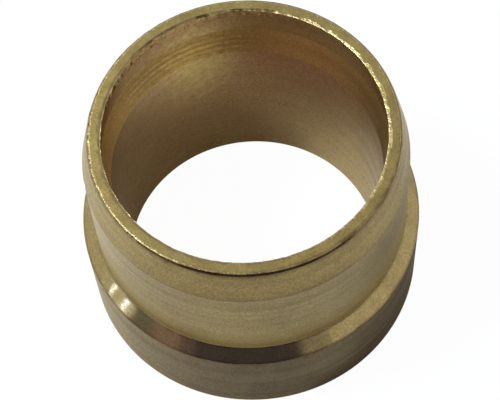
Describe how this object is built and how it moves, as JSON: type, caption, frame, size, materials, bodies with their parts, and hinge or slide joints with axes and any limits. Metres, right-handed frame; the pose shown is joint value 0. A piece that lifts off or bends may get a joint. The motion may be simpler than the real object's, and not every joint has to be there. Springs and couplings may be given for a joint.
{
  "type": "compression olive",
  "caption": "Turned brass compression ring with a tapered nose, stepped shoulder and plain through bore, squeezed onto a pipe by a nut to seal the joint.",
  "frame": {"origin": "centre of the flat foot face at the collar end, on the axis", "axes": "+Z along the axis from the foot to the tip of the nose; the ring is round, so X and Y are free"},
  "size_m": [0.013, 0.013, 0.0098],
  "materials": {
    "turned_brass": "fine turned, slightly dulled, with bright broken edges"
  },
  "bodies": {
    "root": {"compression_olive": "turned_brass"}
  },
  "joints": []
}
